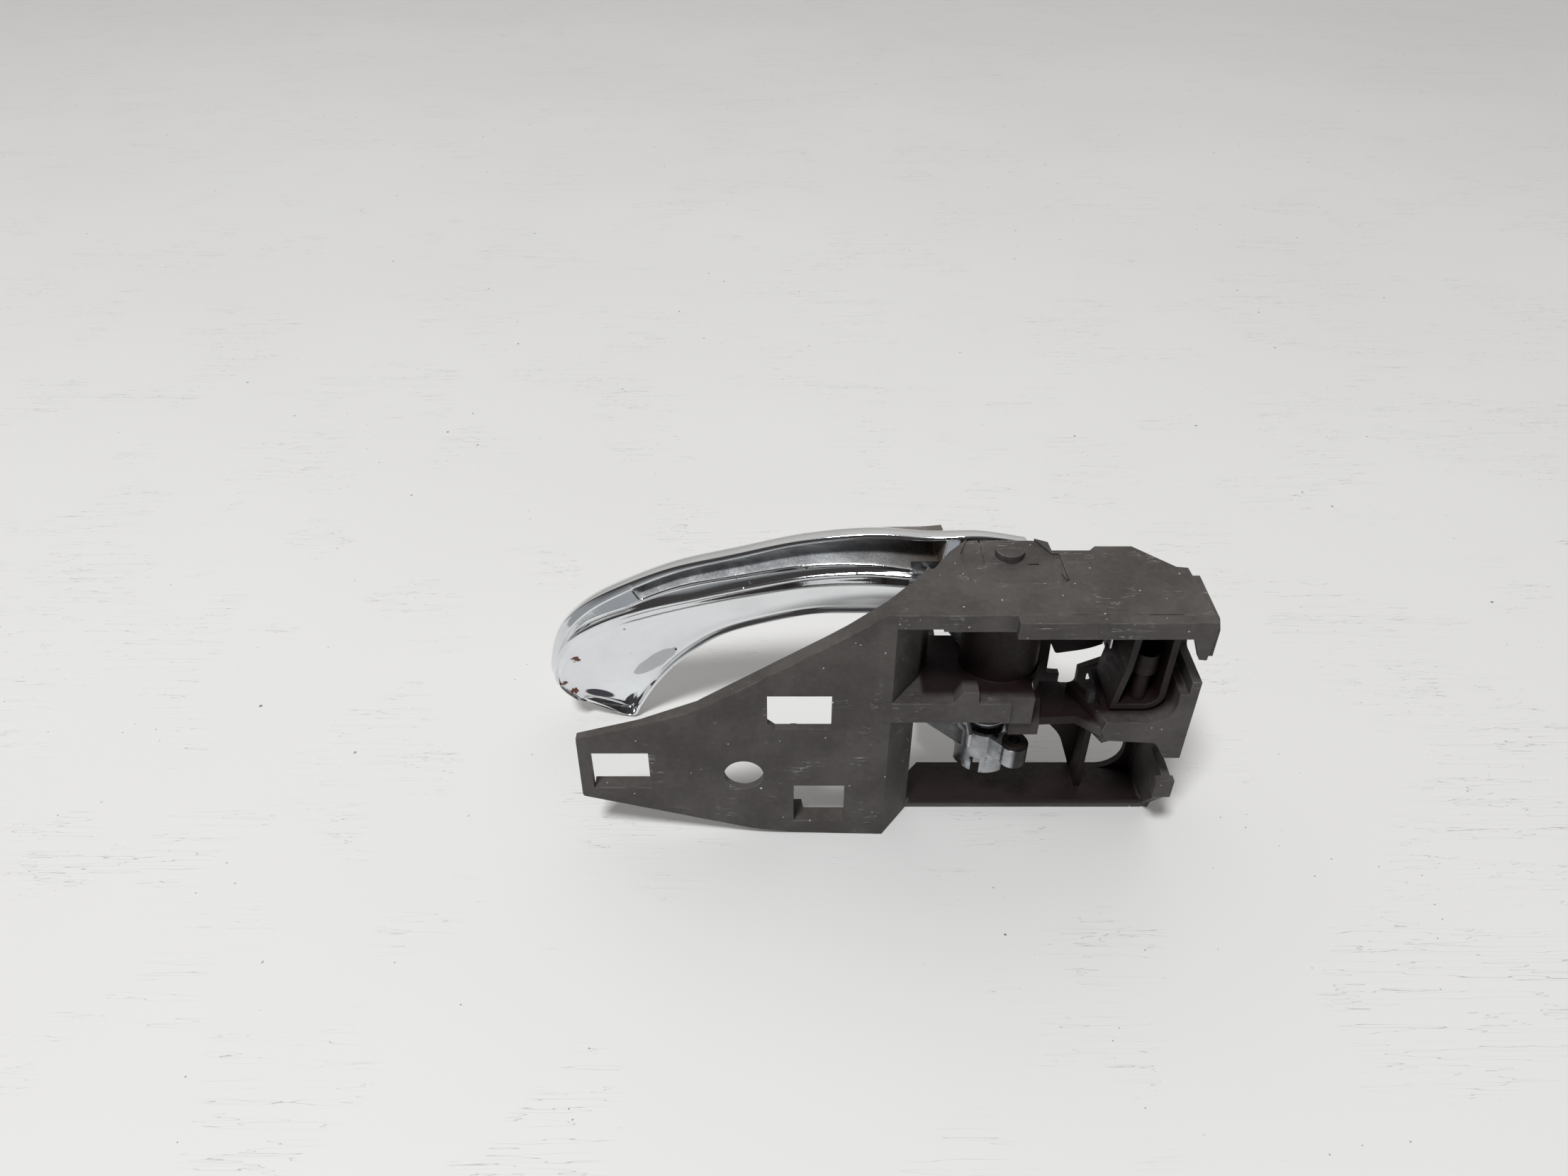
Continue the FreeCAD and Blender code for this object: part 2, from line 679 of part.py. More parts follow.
def lock_rocker():
    """Hollow rocker: a tail open to the door side, an upright hub and a cabin-side button."""
    lift = rocker_z
    right = cup_right_x - rocker_side_gap
    left = cup_left_x + 1.3
    tail = slab_y(
        [(left, lift), (right, lift, cup_corner - 1), (right, rocker_top), (left + 2.4, rocker_top),
         (left + 1.8, lift + 13)],
        rocker_front,
        cup_depth - 1,
    )
    inner = slab_y(
        [(left + 1.7, lift + rocker_wall), (right - rocker_wall, lift + rocker_wall, cup_corner - 3),
         (right - rocker_wall, rocker_top - rocker_wall), (left + 4.0, rocker_top - rocker_wall),
         (left + 3.4, lift + 13)],
        rocker_front - 1,
        cup_depth - 1 - rocker_wall,
    )
    button = slab_y(
        [(rocker_x - 4.6, lift + 1.0, 3.0), (rocker_x + 4.8, lift + 1.0, 3.0),
         (rocker_x + 4.8, rocker_top - 0.6, 3.0), (rocker_x - 4.6, rocker_top - 0.6, 3.0)],
        cup_depth - 1,
        button_front,
    )
    cutter = Part.makeCylinder(11.0, 40, Vector(rocker_x - 2, button_front + 7.5, lift - 5), Vector(0, 0, 1))
    hub = rod(rocker_x, rocker_y, lift, rocker_top, hub_radius)
    web = box(rocker_x - 1, rocker_x + 1, rocker_y, cup_depth, lift + 0.5, rocker_top - 0.5)
    bore = rod(rocker_x, rocker_y, lift - 1, rocker_top + 1, lock_pin_radius + running_gap + 1.2)
    return carved(joined([tail.cut(inner), button.cut(cutter), hub, web]), [bore, lock_marker()])


def lock_bush():
    return tube(rocker_x, rocker_y, rocker_z, rocker_top, lock_pin_radius + running_gap + 1.2,
                lock_pin_radius + running_gap)


def lock_pin():
    return rod(rocker_x, rocker_y, trough_z - 4.5, rim_z - 1, lock_pin_radius)


def lock_cable_socket():
    """Sleeve on the tail's floor for the nipple of the lock cable."""
    x, y = rocker_x, 7.4
    z0 = lock_notch_z - 2.0
    post = tube(x, y, rocker_z + rocker_wall, z0, 1.9, 0.9)
    cup = tube(x, y, z0, z0 + 6.0, 2.9, 1.5)
    return joined([post, cup])


def detent_spring():
    """Leaf spring under the top wall; its crest presses the rocker's tail either side of centre."""
    z0 = rocker_top - 7.0
    strip = [(87.6, 6.0), (88.0, 6.0), (88.0, 9.0), (90.8, 12.6), (88.4, 16.4), (88.4, 20.0), (88.0, 20.0),
             (88.0, 16.2), (90.2, 12.6), (87.6, 9.2)]
    leaf = slab_z(strip, z0, z0 + 5.0)
    foot = box(87.6, 88.0, 6.0, 9.0, z0, ceiling)
    return joined([leaf, foot])


def lock_marker():
    """Coloured spot let into the side of the button, seen when the rocker is unlocked."""
    return Part.makeCylinder(2.2, 0.6, Vector(rocker_x - 4.6, 25.6, rocker_z + 12.4), Vector(1, 0, 0))


def lock_stop_pads():
    locked = box(cup_left_x - 3.3, cup_left_x - 1.8, 6.8, 9.2, trough_z, trough_z + 3.4)
    unlocked = box(cup_right_x - 1.0, cup_right_x, 9.0, 12.0, trough_z + cup_corner, trough_z + 9.2)
    return Part.makeCompound([locked, unlocked])


nodes = {
    "housing": housing,
    "lever_grip": lever_grip,
    "lever_yoke": lever_yoke,
    "upper_bush": lambda: knuckle_bush(upper_knuckle_z, upper_knuckle_top),
    "lower_bush": lambda: knuckle_bush(lower_knuckle_z, lower_knuckle_top),
    "lever_pin": lever_pin,
    "pin_clip": pin_clip,
    "thrust_washers": thrust_washers,
    "spring_sleeve": spring_sleeve,
    "return_spring": return_spring,
    "release_cable_socket": release_cable_socket,
    "rest_pad": rest_pad,
    "open_stop_pad": open_stop_pad,
    "lock_rocker": lock_rocker,
    "lock_bush": lock_bush,
    "lock_pin": lock_pin,
    "lock_cable_socket": lock_cable_socket,
    "detent_spring": detent_spring,
    "lock_marker": lock_marker,
    "lock_stop_pads": lock_stop_pads,
}

os.makedirs("parts", exist_ok=True)
for name, make in nodes.items():
    shape = make()
    shape.exportStep("parts/" + name + ".step")
    state = "valid" if shape.isValid() else "INVALID"
    print(name, round(shape.Volume), "mm3", len(shape.Solids), "solids", state)
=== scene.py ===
import bmesh
import bpy
import math
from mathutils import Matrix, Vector


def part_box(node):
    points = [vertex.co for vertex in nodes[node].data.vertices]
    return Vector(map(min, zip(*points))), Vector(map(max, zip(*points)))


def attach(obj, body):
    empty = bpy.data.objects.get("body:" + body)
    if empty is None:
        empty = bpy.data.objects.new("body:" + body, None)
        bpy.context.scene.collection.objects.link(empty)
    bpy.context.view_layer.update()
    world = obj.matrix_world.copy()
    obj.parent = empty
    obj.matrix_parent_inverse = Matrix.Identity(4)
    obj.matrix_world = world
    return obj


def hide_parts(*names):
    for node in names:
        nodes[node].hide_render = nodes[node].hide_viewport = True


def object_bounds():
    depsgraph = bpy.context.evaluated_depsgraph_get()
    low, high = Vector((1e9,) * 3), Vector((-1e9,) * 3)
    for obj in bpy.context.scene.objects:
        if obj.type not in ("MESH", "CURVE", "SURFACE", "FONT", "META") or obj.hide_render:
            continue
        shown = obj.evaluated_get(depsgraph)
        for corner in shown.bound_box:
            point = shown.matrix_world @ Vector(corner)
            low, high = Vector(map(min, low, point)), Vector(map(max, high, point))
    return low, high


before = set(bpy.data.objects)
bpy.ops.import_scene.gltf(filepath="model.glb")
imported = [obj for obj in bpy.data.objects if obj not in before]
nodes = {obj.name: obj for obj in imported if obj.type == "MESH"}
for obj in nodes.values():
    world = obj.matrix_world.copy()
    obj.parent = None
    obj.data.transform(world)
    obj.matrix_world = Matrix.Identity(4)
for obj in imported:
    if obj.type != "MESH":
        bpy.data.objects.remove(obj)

# Inside door handle: a chrome pull lever and a lock rocker in a charcoal moulded housing
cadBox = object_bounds()
mm = 0.001
print("frame loaded:", len(nodes), "nodes")


class Flow:  # one socket of a node tree, so that a pattern is written as a sum
    def __init__(self, tree, socket=None):
        self.tree = tree
        self.socket = socket

    def node(self, kind, settings=None, inputs=None, out=0):
        made = self.tree.nodes.new(kind)
        for key, value in (settings or {}).items():
            if key == "stops":
                for place, (position, colour) in enumerate(value):
                    ramp = made.color_ramp.elements
                    stop = ramp[place] if place < 2 else ramp.new(position)
                    stop.position = position
                    stop.color = (*colour, 1)
            else:
                setattr(made, key, value)
        for key, value in (inputs or {}).items():
            if isinstance(value, Flow):
                self.tree.links.new(value.socket, made.inputs[key])
            else:
                made.inputs[key].default_value = value
        return Flow(self.tree, made.outputs[out] if made.outputs else None)

    def maths(self, operation, *values):
        return self.node("ShaderNodeMath", {"operation": operation}, dict(enumerate(values)))

    def vectors(self, operation, inputs, out="Vector"):
        return self.node("ShaderNodeVectorMath", {"operation": operation}, inputs, out)

    def __add__(self, other):
        return self.maths("ADD", self, other)

    def __sub__(self, other):
        return self.maths("SUBTRACT", self, other)

    def __rsub__(self, other):
        return self.maths("SUBTRACT", other, self)

    def __mul__(self, other):
        return self.maths("MULTIPLY", self, other)

    __radd__ = __add__
    __rmul__ = __mul__

    def most(self, other):
        return self.maths("MAXIMUM", self, other)

    def between(self, low, high):  # 0 at low, 1 at high, smooth
        return self.node("ShaderNodeMapRange", {"interpolation_type": "SMOOTHSTEP"},
                         {"Value": self, "From Min": low, "From Max": high})

    def blend(self, low, high):  # a colour for 0 and a colour for 1
        low = (*low, 1) if isinstance(low, tuple) else low
        high = (*high, 1) if isinstance(high, tuple) else high
        return self.node("ShaderNodeMix", {"data_type": "RGBA"}, {0: self, 6: low, 7: high}, out=2)

    def mapped(self, scale, turn=(0, 0, 0)):
        return self.node("ShaderNodeMapping", None, {"Vector": self, "Scale": scale, "Rotation": turn})

    def cloud(self, size, detail=2.0, rough=0.5):  # size is a feature's width in millimetres
        return self.node("ShaderNodeTexNoise", None,
                         {"Vector": self, "Scale": 1 / (size * mm), "Detail": detail, "Roughness": rough})

    def specks(self, spacing, radius):  # 1 inside scattered dots, both in millimetres
        dots = self.node("ShaderNodeTexVoronoi", None, {"Vector": self, "Scale": 1 / (spacing * mm)})
        return dots.maths("LESS_THAN", dots, radius / spacing)

    def scratches(self, length, turn, width=0.006, spread=9.0):  # long thin lines in one direction
        lines = self.mapped((1, spread, spread), turn).cloud(length, 3.0, 0.55)
        return (lines - 0.5).maths("ABSOLUTE", lines - 0.5).between(width, 0.0)

    def along(self, axis):  # one coordinate in millimetres
        return self.node("ShaderNodeSeparateXYZ", None, {0: self}, out=axis) * (1 / mm)

    def near(self, place, reach):  # 1 at a place, 0 from reach on, in millimetres
        gap = self.vectors("DISTANCE", {0: self, 1: tuple(v * mm for v in place)}, "Value")
        return gap.between(reach * mm, 0.0)

    def insideBox(self, spans):  # 1 inside a box with soft faces, one row of four millimetre values an axis
        mask = None
        for axis, (lowOut, lowIn, highIn, highOut) in spans.items():
            at = self.along(axis)
            slab = at.between(lowOut, lowIn) * (1 - at.between(highIn, highOut))
            mask = slab if mask is None else mask * slab
        return mask

    def streak(self, place, way, stretch, reach):  # like near, but longer along a direction
        gap = self.vectors("SUBTRACT", {0: self, 1: tuple(v * mm for v in place)})
        run = gap.vectors("DOT_PRODUCT", {0: gap, 1: way}, "Value")
        shift = run.vectors("SCALE", {0: way, "Scale": run * (1 - 1 / stretch)})
        left = gap.vectors("SUBTRACT", {0: gap, 1: shift})
        return left.vectors("LENGTH", {0: left}, "Value").between(reach * mm, 0.0)


def newMaterial(name):
    material = bpy.data.materials.new(name)
    material.use_nodes = True
    material.node_tree.nodes.clear()
    flow = Flow(material.node_tree)
    return material, flow.node("ShaderNodeTexCoord", out="Object")


def finishMaterial(place, inputs):
    shader = place.node("ShaderNodeBsdfPrincipled", None, inputs)
    place.node("ShaderNodeOutputMaterial", None, {"Surface": shader})


def softEdges(place, radius):
    return place.node("ShaderNodeBevel", {"samples": 4}, {"Radius": radius * mm})


def edgeWear(place, radius):  # 1 along sharp edges
    flat = place.node("ShaderNodeNewGeometry", out="Normal")
    dot = place.vectors("DOT_PRODUCT", {0: softEdges(place, radius), 1: flat}, "Value")
    return dot.between(0.97, 0.75)


def bumped(place, height, distance, strength, normal=None):
    inputs = {"Height": height, "Distance": distance * mm, "Strength": strength}
    if normal:
        inputs["Normal"] = normal
    return place.node("ShaderNodeBump", None, inputs)


# hollow is the near-black painted shade colour for the insides of the bays
charcoal = {"dark": (0.052, 0.046, 0.043), "light": (0.094, 0.086, 0.081), "worn": (0.19, 0.185, 0.18),
            "dust": (0.62, 0.62, 0.60), "hollow": (0.011, 0.004, 0.004), "grain": 0.35, "edgeRadius": 0.35,
            "paintedShadeBays": {"X": (43.0, 44.5, 106.0, 107.5), "Y": (1.6, 5.0, 90.0, 91.0),
                     "Z": (-22.0, -20.6, 50.0, 50.6)}}


def charcoalMoulding():
    material, place = newMaterial("charcoalMoulding")
    shade = place.cloud(16, 4, 0.62).between(0.36, 0.66)
    mottle = place.cloud(1.6, 3, 0.6).between(0.3, 0.75)
    colour = (0.62 * shade + 0.38 * mottle).blend(charcoal["dark"], charcoal["light"])
    patchy = place.cloud(9, 3, 0.6)
    wear = edgeWear(place, 0.45) * patchy.between(0.42, 0.60)
    colour = wear.blend(colour, charcoal["worn"])
    rubs = place.scratches(26, (0, 0.5, 0.2)).most(place.scratches(18, (0, -0.75, 0.1)))
    rubs = rubs * patchy.between(0.56, 0.66)
    dust = place.specks(2.2, 0.20) * place.cloud(5, 2).between(0.54, 0.58)
    lint = place.specks(9.0, 0.42) * place.cloud(11, 2).between(0.50, 0.56)
    marks = (0.45 * rubs).most(0.8 * dust).most(0.9 * lint)
    colour = marks.blend(colour, charcoal["dust"])
    hollow = place.insideBox(charcoal["paintedShadeBays"])  # painted shade: the insides of the bays are painted near black
    colour = (0.97 * hollow).blend(colour, charcoal["hollow"])
    spark = place.cloud(charcoal["grain"], 3, 0.7)
    rough = 0.50 + 0.16 * mottle + 0.12 * marks - 0.10 * wear
    finishMaterial(place, {
        "Base Color": colour, "Roughness": rough, "Specular IOR Level": 0.26,
        "Normal": bumped(place, spark, 0.05, 0.55, softEdges(place, charcoal["edgeRadius"])),
    })
    return material


chrome = {"tint": (0.80, 0.815, 0.83), "pit": (0.035, 0.03, 0.028),
          "chip": (0.16, 0.055, 0.03), "chips": [(-53.5, 44, -7.0), (-48.5, 42, 1.5), (-51.0, 44, -12.0)],
          "paintedDarkReflection": ((-43.0, 45, -14.6), (0.90, 0, -0.43), 3.4, 2.2),
          "greyPatch": ((-26.5, 45, -1.4), (0.80, 0, 0.60), 3.2, 3.6)}


def chromePlate():
    material, place = newMaterial("chromePlate")
    haze = place.cloud(14, 4, 0.6).between(0.4, 0.7)
    fine = place.cloud(0.55, 2, 0.6)
    pits = place.specks(7.0, 0.44) * place.cloud(7, 2).between(0.44, 0.48)
    freckles = place.specks(2.2, 0.22) * place.cloud(9, 3).between(0.60, 0.66)
    chips = place.near(chrome["chips"][0], 5.5)
    for spot in chrome["chips"][1:]:
        chips = chips.most(place.near(spot, 4.0))
    chips = (chips * place.cloud(1.9, 4, 0.7)).between(0.36, 0.39)
    # painted reflection: a near-black streak in the tip's cup stands for the dark surroundings mirrored
    # there
    paintedDarkReflection = place.streak(*chrome["paintedDarkReflection"]).between(0.10, 0.30)
    # painted reflection: a mid-grey streak on the finger side stands for the shadowed table mirrored there
    greyPatch = (place.streak(*chrome["greyPatch"]) * place.cloud(5, 2)).between(0.12, 0.16)
    holes = pits.most(freckles)
    colour = haze.blend(chrome["tint"], (0.74, 0.76, 0.775))
    colour = paintedDarkReflection.blend((0.7 * greyPatch).blend(colour, (0.34, 0.35, 0.37)), (0.062, 0.060, 0.070))
    colour = chips.blend(holes.blend(colour, chrome["pit"]), chrome["chip"])
    rough = 0.055 + 0.05 * haze + 0.35 * holes + 0.5 * chips
    finishMaterial(place, {
        "Base Color": colour, "Metallic": 1 - (0.9 * chips).most(0.7 * holes), "Roughness": rough,
        "Normal": bumped(place, fine - 1.2 * holes - chips, 0.02, 0.25),
    })
    return material


def pocketPlate():
    material, place = newMaterial("pocketPlate")
    warm = place.near((54, 46, 36), 34)
    sand = place.cloud(0.7, 3, 0.75).between(0.42, 0.62)
    streaks = place.mapped((1, 1, 7), (0, -0.33, 0)).cloud(12, 3, 0.6).between(0.42, 0.62)
    colour = streaks.blend((0.52, 0.54, 0.56), (0.80, 0.83, 0.85))
    colour = warm.blend(colour, (0.075, 0.045, 0.024))
    colour = (sand * 0.45).blend(colour, (0.13, 0.10, 0.08))
    finishMaterial(place, {
        "Base Color": colour, "Metallic": 0.30 + 0.15 * warm, "Roughness": 0.16 + 0.22 * sand + 0.12 * warm,
        "Normal": bumped(place, sand, 0.06, 0.6),
    })
    return material


def yokePlate():
    material, place = newMaterial("yokePlate")
    # the dim plating tint is a painted dark reflection; darkening is blotchy grime, and past x 69.5 mm the
    # crank is painted near black as painted shade
    haze = place.cloud(6, 4, 0.6).between(0.35, 0.7)
    darkening = place.cloud(3.2, 2, 0.5).between(0.60, 0.72).most(place.along("X").between(68.0, 69.5))
    colour = darkening.blend(haze.blend((0.46, 0.47, 0.49), (0.30, 0.31, 0.32)), (0.012, 0.010, 0.010))
    finishMaterial(place, {
        "Base Color": colour, "Metallic": 1 - 0.8 * darkening, "Roughness": 0.17 + 0.22 * haze + 0.25 * darkening,
        "Normal": bumped(place, place.cloud(0.5, 2), 0.02, 0.3, softEdges(place, 0.4)),
    })
    return material


def naturalAcetal():
    material, place = newMaterial("naturalAcetal")
    milky = place.cloud(3, 3, 0.6)
    darkening = place.cloud(1.4, 4, 0.7).between(0.55, 0.75)
    colour = darkening.blend(milky.blend((0.70, 0.69, 0.63), (0.58, 0.57, 0.52)), (0.16, 0.14, 0.12))
    finishMaterial(place, {
        "Base Color": colour, "Roughness": 0.34 + 0.3 * darkening, "Subsurface Weight": 0.12,
        "Subsurface Radius": (0.002, 0.0018, 0.0014),
        "Normal": bumped(place, milky, 0.02, 0.3, softEdges(place, 0.2)),
    })
    return material


def zincSteel():
    material, place = newMaterial("zincSteel")
    drawn = place.mapped((1, 1, 12)).cloud(0.8, 3, 0.6)
    rust = place.cloud(1.1, 4, 0.75).between(0.60, 0.74)
    colour = rust.blend(drawn.blend((0.60, 0.61, 0.63), (0.44, 0.44, 0.45)), (0.17, 0.08, 0.04))
    finishMaterial(place, {
        "Base Color": colour, "Metallic": 1 - 0.85 * rust, "Roughness": 0.26 + 0.2 * drawn + 0.35 * rust,
        "Normal": bumped(place, drawn, 0.015, 0.4, softEdges(place, 0.15)),
    })
    return material


def padRubber():
    material, place = newMaterial("padRubber")
    greyPatch = place.cloud(1.5, 4, 0.65).between(0.5, 0.8)
    colour = greyPatch.blend((0.018, 0.018, 0.019), (0.075, 0.075, 0.072))
    finishMaterial(place, {
        "Base Color": colour, "Roughness": 0.72 + 0.15 * greyPatch,
        "Normal": bumped(place, place.cloud(0.3, 2), 0.03, 0.5, softEdges(place, 0.3)),
    })
    return material


def markerRed():
    material, place = newMaterial("markerRed")
    scuff = place.cloud(0.9, 4, 0.7).between(0.56, 0.68)
    colour = scuff.blend((0.52, 0.030, 0.024), (0.20, 0.022, 0.020))
    finishMaterial(place, {
        "Base Color": colour, "Roughness": 0.32 + 0.35 * scuff,
        "Normal": bumped(place, scuff, 0.02, 0.3, softEdges(place, 0.2)),
    })
    return material


def wornTable():
    material, place = newMaterial("wornTable")
    wash = place.cloud(240, 3, 0.5)
    colour = wash.blend((0.74, 0.735, 0.72), (0.80, 0.80, 0.795))
    hairs = place.scratches(90, (0, 0, 0.9), 0.0035, 22).most(place.scratches(70, (0, 0, -0.4), 0.003, 20))
    hairs = hairs * place.cloud(38, 2).between(0.50, 0.60)
    crumbs = place.specks(13, 0.50) * place.cloud(15, 2).between(0.50, 0.53)
    flecks = place.specks(5, 0.22) * place.cloud(26, 2).between(0.54, 0.58)
    marks = (0.45 * hairs).most(0.85 * crumbs).most(0.7 * flecks)
    colour = marks.blend(colour, (0.11, 0.105, 0.10))
    finishMaterial(place, {"Base Color": colour, "Roughness": 0.42 + 0.2 * wash})
    return material


finishes = {
    "charcoal": charcoalMoulding(), "chrome": chromePlate(), "pocket": pocketPlate(), "yoke": yokePlate(),
    "acetal": naturalAcetal(), "steel": zincSteel(), "rubber": padRubber(), "marker": markerRed(),
}
print("finishes:", ", ".join(finishes))

nodeFinish = {
    "housing": "charcoal", "lock_rocker": "charcoal", "lever_grip": "chrome", "lever_yoke": "yoke",
    "upper_bush": "acetal", "lower_bush": "acetal", "thrust_washers": "acetal", "spring_sleeve": "acetal",
    "release_cable_socket": "charcoal", "lock_bush": "acetal", "lock_cable_socket": "charcoal",
    "lever_pin": "steel", "pin_clip": "steel", "return_spring": "steel", "lock_pin": "steel",
    "detent_spring": "steel", "rest_pad": "rubber", "open_stop_pad": "rubber", "lock_stop_pads": "rubber",
    "lock_marker": "marker",
}
for name, finish in nodeFinish.items():
    nodes[name].data.materials.clear()
    nodes[name].data.materials.append(finishes[finish])
print("moulded and turned parts painted:", len(nodeFinish))

# Pull lever: sections from the tip to the root, in millimetres. Each has its inner edge (x, z), outer
# edge (x, z), the depths y of inner edge, ridge and outer edge, the thickness behind the ridge, then
# ridge and crease as shares of the width from the inner edge.
lever = {
    "sections": [
        ((-36.7, -21.6), (-50.5, -14.2), 44.0, 43.2, 44.4, 4.5, 0.95, 0.90),
        ((-33.6, -21.6), (-56.0, -6.4), 43.8, 42.0, 44.0, 8.5, 0.94, 0.88),
        ((-31.6, -18.1), (-55.5, 2.5), 44.2, 41.3, 43.8, 10.5, 0.92, 0.84),
        ((-27.2, -10.8), (-51.9, 12.1), 44.6, 41.0, 44.0, 11.5, 0.88, 0.78),
        ((-21.0, -3.1), (-44.6, 19.9), 45.0, 41.0, 44.2, 12.0, 0.81, 0.69),
        ((-13.7, 3.5), (-33.7, 26.3), 45.2, 41.0, 44.4, 12.0, 0.74, 0.60),
        ((-5.8, 8.7), (-19.4, 32.5), 45.2, 41.0, 44.4, 12.0, 0.65, 0.52),
        ((4.9, 12.5), (-2.2, 37.1), 45.2, 41.0, 44.4, 12.0, 0.63, 0.49),
        ((18.2, 16.2), (15.1, 41.8), 44.5, 40.5, 43.8, 12.0, 0.61, 0.46),
        ((30.7, 18.0), (32.6, 44.8), 42.8, 39.0, 42.4, 12.0, 0.60, 0.45),
        ((43.0, 20.0), (47.6, 45.2), 40.4, 36.8, 40.4, 12.0, 0.58, 0.44),
        ((56.6, 22.7), (60.8, 46.4), 38.8, 35.6, 39.2, 11.0, 0.56, 0.43),
        ((70.5, 28.0), (72.6, 44.8), 38.8, 37.6, 39.0, 7.0, 0.55, 0.42),
    ],
    "ringsPerSection": 16, "rimWidth": 0.9, "rimDrop": 0.6, "bead": 0.5, "beadWidth": 0.7,
    "pocketFrom": 5.12, "pocketTo": 10.30, "pocketFloor": 48.3, "pocketLow": (0.82, 0.64),
    "pocketHigh": (0.93, 0.96), "pocketStep": 0.05, "cornerSamples": 4,
    "tipReach": 1.8, "tipRings": 7, "cupDepth": 2.6,
}


def throughPoints(values, at):  # smooth curve through evenly spaced values
    last = len(values) - 1
    k = min(int(at), last - 1)
    s = at - k
    a, b, c, d = (values[max(0, min(last, k + j))] for j in (-1, 0, 1, 2))
    square = 2 * a - 5 * b + 4 * c - d
    cube = 3 * b - a - 3 * c + d
    return 0.5 * (2 * b + (c - a) * s + square * s ** 2 + cube * s ** 3)


def smoothStep(value, low, high):
    s = max(0.0, min(1.0, (value - low) / (high - low)))
    return s * s * (3 - 2 * s)


def leverSection(at):
    rows = lever["sections"]
    xi, zi, xo, zo = (throughPoints([row[side][axis] for row in rows], at)
                      for side in (0, 1) for axis in (0, 1))
    inner, ridge, outer, thick, r, c = (throughPoints([row[j] for row in rows], at) for j in range(2, 8))
    width = math.hypot(xo - xi, zo - zi)
    rim = lever["rimWidth"] / width
    cup = smoothStep(at, 0.02, 0.75) * (1 - smoothStep(at, 1.2, 3.6))
    drop = lever["rimDrop"] + lever["cupDepth"] * cup
    drop = drop * smoothStep(at, 0.05, 0.30)
    beadRise = lever["bead"] * smoothStep(at, 0.6, 2.0)
    bead = min(lever["beadWidth"] / width, 0.25 * (1 - r))
    floorLow, floorHigh = inner + drop, ridge + 0.75
    profile = [(0.0, inner + 0.35), (0.10 * rim, inner + 0.08), (0.35 * rim, inner), (0.8 * rim, inner)]
    profile += [(1.15 * rim, inner + 0.45 * drop), (1.7 * rim, floorLow)]
    for k in range(1, 9):  # the finger side: hollow, flattest near the inner edge
        s = k / 9
        hollow = math.sin(math.pi * s) * 0.55
        profile.append((1.7 * rim + s * (c - 1.7 * rim), floorLow + (floorHigh - floorLow) * s + hollow))
    profile += [(c, floorHigh), (c + 0.25 * (r - c), ridge + 0.50), (c + 0.8 * (r - c), ridge + 0.35)]
    profile += [(r - 0.3 * bead, ridge + 0.12), (r, ridge), (r + 0.35 * bead, ridge + 0.05)]
    profile += [(r + bead, ridge + beadRise + 0.05)]
    strip = outer - ridge - beadRise
    share = (at - lever["pocketFrom"]) / (lever["pocketTo"] - lever["pocketFrom"])
    low, high = (edge[0] + (edge[1] - edge[0]) * max(0, min(1, share)) ** 1.3
                 for edge in (lever["pocketLow"], lever["pocketHigh"]))
    inside = smoothStep(at, lever["pocketFrom"], lever["pocketFrom"] + lever["pocketStep"])
    inside *= smoothStep(at, lever["pocketTo"] + lever["pocketStep"], lever["pocketTo"])
    high = min(high, 1 - min(0.035, 0.45 * (1 - r)))
    low = min(max(low, r + 0.06), high - 0.25 * (1 - r))

    def stripDepth(t):
        return ridge + beadRise + 0.1 + strip * (t - r) / (1 - r)

    floor = lever["pocketFloor"]
    edge = min(0.35 / width, 0.06 * (1 - r))
    wallFrom = len(profile) + 2
    lip = stripDepth(low)
    profile += [(low - 2.5 * edge, lip), (low - edge, lip), (low, lip + 0.3 * inside)]
    for t, deep in ((low + edge, 0.30), (low + 2 * edge, 0.92), (low + 4 * edge, 1.0),
                    ((low + high) / 2, 1.0), (high - 3 * edge, 1.0), (high - 1.2 * edge, 0.92),
                    (high - 0.6 * edge, 0.30)):
        shallow = stripDepth(t)
        profile.append((t, shallow + (floor - shallow) * deep * inside))
    wallTo = len(profile)
    profile += [(high, stripDepth(high) + 0.3 * inside), (high + 0.6 * edge, stripDepth(high))]
    profile += [(1 - min(0.018, 0.25 * (1 - r)), outer), (1 - min(0.004, 0.1 * (1 - r)), outer + 0.35)]
    profile.append((1.0, outer + 0.9))
    back = ridge + thick
    for t, share in ((0.995, 0.45), (0.97, 0.62), (0.90, 0.80), (0.80, 0.90), (0.68, 0.97), (0.50, 1.0),
                     (0.32, 0.97), (0.18, 0.88), (0.08, 0.76), (0.02, 0.60)):
        lowest = outer + (inner - outer) * (1 - t)
        profile.append((t, lowest + 0.9 + (back - lowest - 0.9) * (share - 0.30) / 0.70))
    profile.append((0.0, inner + 1.0))
    return [Vector((xi + t * (xo - xi), y, zi + t * (zo - zi))) for t, y in profile], wallFrom, wallTo


def rounded(points, samples):  # closed smooth loop through the points
    loop = []
    count = len(points)
    for k in range(count):
        a, b, c, d = (points[(k + j) % count] for j in (-1, 0, 1, 2))
        ta = max((b - a).length, 1e-4) ** 0.5
        tb = max((c - b).length, 1e-4) ** 0.5
        tc = max((d - c).length, 1e-4) ** 0.5
        slopeB = (b - a) / ta - (c - a) / (ta + tb) + (c - b) / tb
        slopeC = (c - b) / tb - (d - b) / (tb + tc) + (d - c) / tc
        for j in range(samples):
            s = j / samples
            loop.append(b * (2 * s ** 3 - 3 * s ** 2 + 1) + slopeB * tb * (s ** 3 - 2 * s ** 2 + s)
                        + c * (3 * s ** 2 - 2 * s ** 3) + slopeC * tb * (s ** 3 - s ** 2))
    return loop


